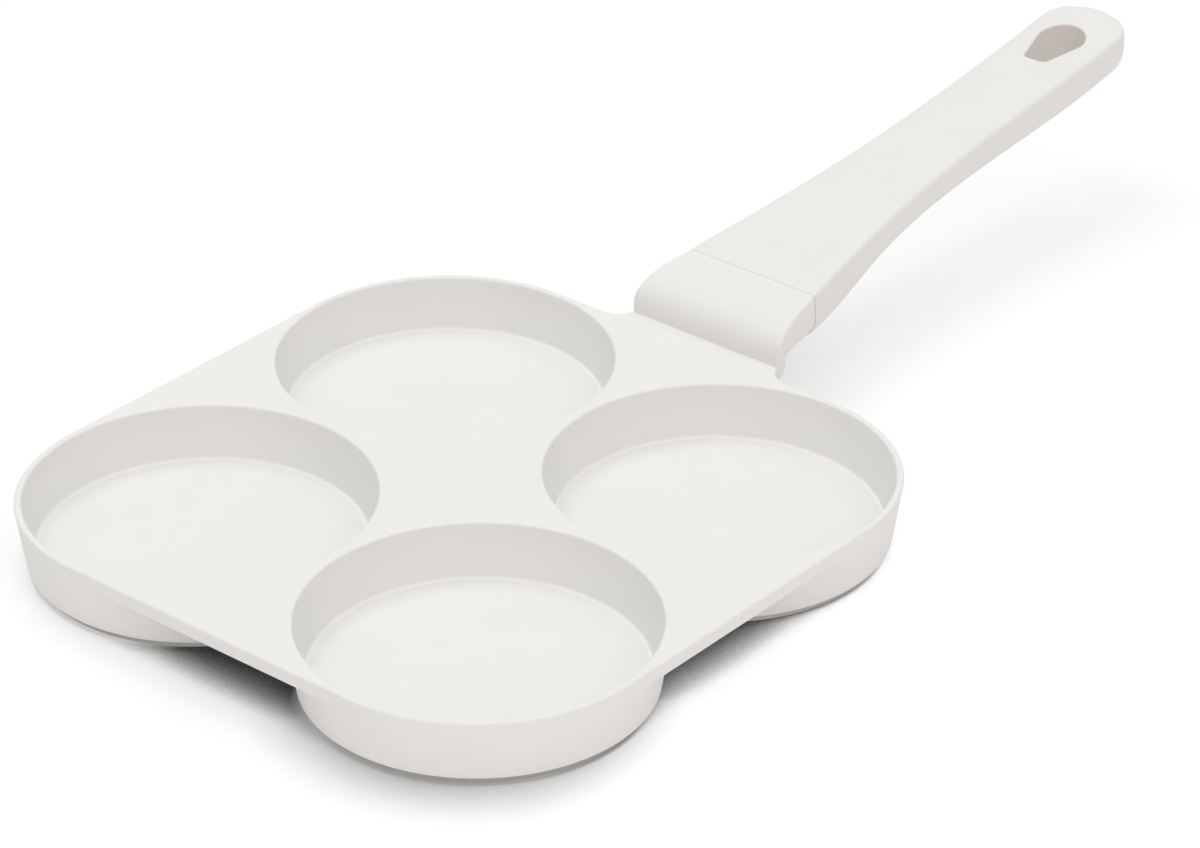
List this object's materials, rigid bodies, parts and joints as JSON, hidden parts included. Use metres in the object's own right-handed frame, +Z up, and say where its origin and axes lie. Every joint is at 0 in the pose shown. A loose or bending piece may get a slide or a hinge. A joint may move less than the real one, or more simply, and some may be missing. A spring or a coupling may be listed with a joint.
{
  "type": "four-hole burger pan",
  "caption": "Square off-white frying pan with round shallow cups joined by a flat plate, steel discs under the cups and a long moulded handle with a hanging hole.",
  "frame": {"origin": "on the surface that the pan stands on, below the middle of its whole length and width", "axes": "+X from the pan towards the end of the handle, +Y to the right as seen by the cook who holds the handle and looks over the pan, +Z up"},
  "size_m": [0.4158, 0.2074, 0.0583],
  "materials": {
    "pan_coating": "matte off-white non-stick coating on cast aluminium",
    "disc_steel": "turned, satin",
    "grip_plastic": "fine matte moulding, off-white",
    "fastener_steel": "zinc plated, satin"
  },
  "bodies": {
    "root": {"pan_body": "pan_coating", "handle_grip": "grip_plastic", "handle_screw": "fastener_steel", "flat_washer": "fastener_steel", "spring_washer": "fastener_steel", "base_disc_far_left": "disc_steel", "base_disc_far_right": "disc_steel", "base_disc_near_left": "disc_steel", "base_disc_near_right": "disc_steel"}
  },
  "joints": []
}
